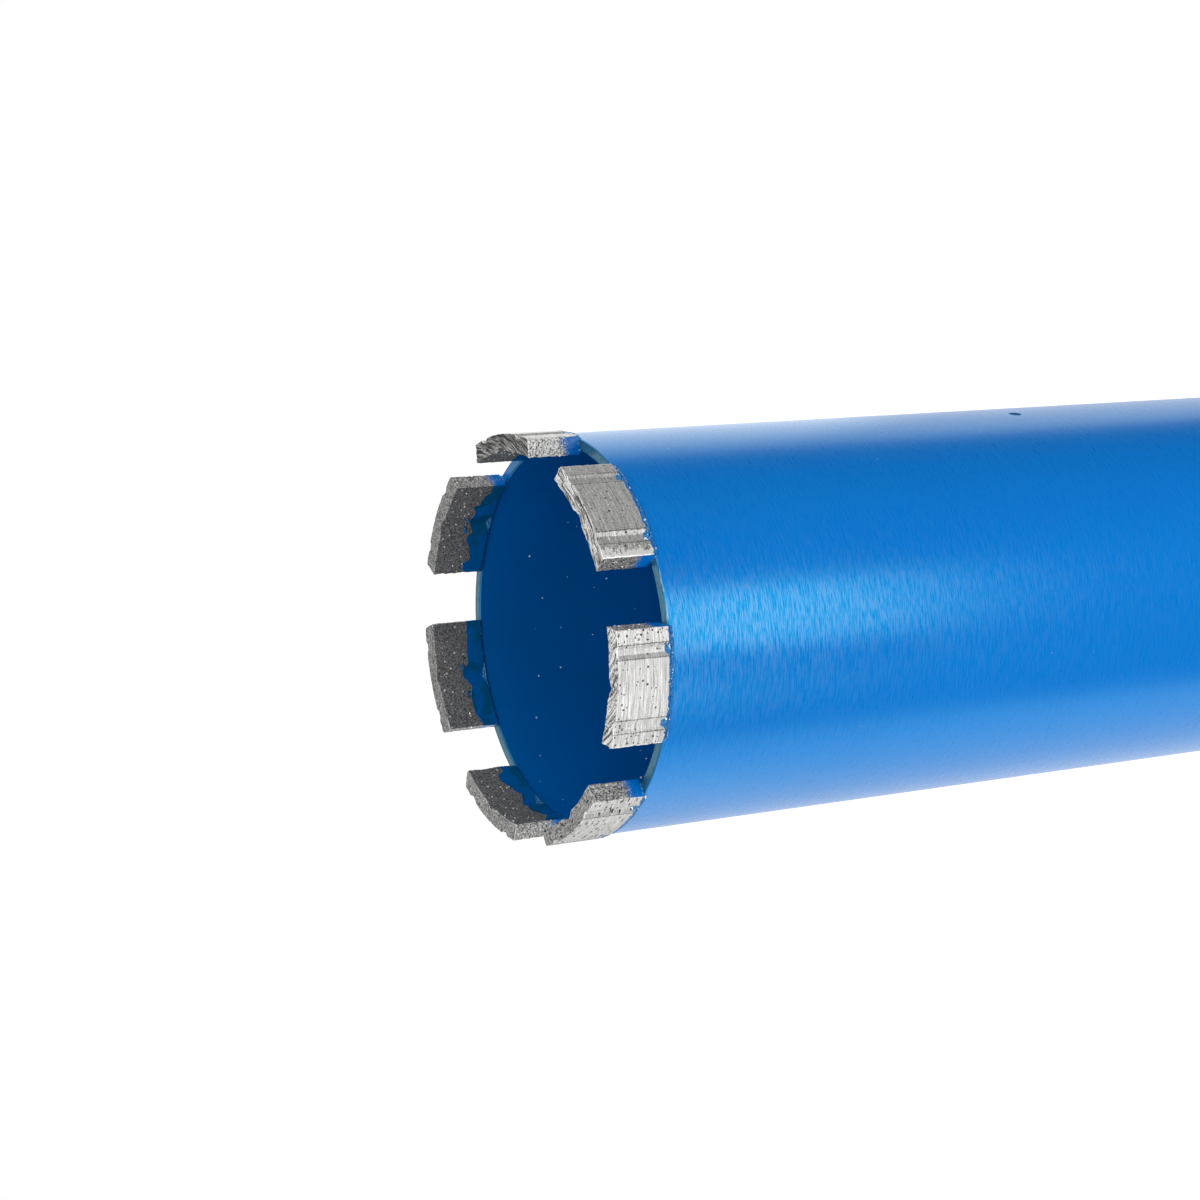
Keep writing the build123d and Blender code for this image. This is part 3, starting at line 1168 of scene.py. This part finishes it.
def make_camera():
    """Camera at the photograph's place and angle."""
    data = bpy.data.cameras.new("camera")
    data.lens = lens_mm
    data.sensor_width = sensor_mm
    data.clip_start = 0.01
    camera = bpy.data.objects.new("camera", data)
    bpy.context.scene.collection.objects.link(camera)
    right = Vector(camera_right).normalized()
    back = right.cross(Vector(camera_up)).normalized()
    turn = Matrix((right, back.cross(right), back)).transposed().to_4x4()
    where = Vector((
        camera_radius * cos(camera_azimuth),
        camera_radius * sin(camera_azimuth),
        crown_height + camera_above_crown,
    ))
    camera.matrix_world = Matrix.Translation(where) @ turn
    bpy.context.scene.camera = camera


def lamp(name, azimuth, height, distance, width, tall, watts):
    """Softbox at an azimuth and a height, turned to the crown."""
    data = bpy.data.lights.new(name, "AREA")
    data.shape = "RECTANGLE"
    data.size, data.size_y = width, tall
    data.energy = watts
    box = bpy.data.objects.new(name, data)
    bpy.context.scene.collection.objects.link(box)
    angle = radians(azimuth)
    where = Vector((distance * cos(angle), distance * sin(angle), height))
    target = Vector((0, 0, crown_height - 40 * MM))
    aim = (where - target).to_track_quat("Z", "Y").to_matrix().to_4x4()
    box.matrix_world = Matrix.Translation(where) @ aim
    box.visible_camera = False


def make_floor():
    """Square floor under the bit, 8 m wide."""
    half = 4.0
    corners = [(-half, -half, 0), (half, -half, 0), (half, half, 0), (-half, half, 0)]
    mesh = bpy.data.meshes.new("floor")
    mesh.from_pydata(corners, [], [(0, 1, 2, 3)])
    mesh.materials.append(floor_white())
    show("floor", mesh)


def make_card():
    """Half a ring of black card round the bit, just over the floor, seen only by mirror rays."""
    near, far = 30 * MM, 3.9
    start, stop = radians(-142), radians(38)
    lift = 4 * MM
    steps = 16
    bearings = [start + (stop - start) * i / steps for i in range(steps + 1)]
    verts = [(r * cos(a), r * sin(a), lift) for a in bearings for r in (near, far)]
    faces = [(2 * i, 2 * i + 1, 2 * i + 3, 2 * i + 2) for i in range(steps)]
    mesh = bpy.data.meshes.new("black_card")
    mesh.from_pydata(verts, [], faces)
    mesh.materials.append(card_black())
    card = show("black_card", mesh)
    for rays in ("camera", "diffuse", "transmission", "shadow"):
        setattr(card, f"visible_{rays}", False)


def make_world():
    """White surroundings, at full strength only where they are seen."""
    world = bpy.data.worlds.new("studio")
    world.use_nodes = True
    bpy.context.scene.world = world
    tree = world.node_tree
    plug(tree.nodes["Background"].inputs["Strength"], mix(seen_rays(tree), 0.34, 1.0))
    plug(tree.nodes["Background"].inputs["Color"], (1.0, 1.0, 1.0, 1.0))


make_camera()
make_floor()
make_card()
make_world()

# Azimuth in degrees, height, distance, width and tallness in metres, and watts
lamp("key_softbox", -73, 0.262, 0.30, 0.17, 0.10, 0.25)
lamp("low_panel", -175, 0.32, 0.9, 0.6, 0.8, 2.2)
lamp("side_panel", -112, 0.30, 0.9, 0.4, 0.6, 2.7)
lamp("top_panel", -5, 0.55, 1.0, 0.6, 0.8, 2.6)
lamp("front_fill", -70, 1.05, 0.55, 0.5, 0.5, 1.4)
lamp("small_lamp", -62, 1.0, 0.5, 0.1, 0.1, 0.55)
lamp("rim_panel", 72, 0.14, 0.55, 0.45, 0.25, 0.20)
bpy.context.scene.view_settings.view_transform = "Standard"
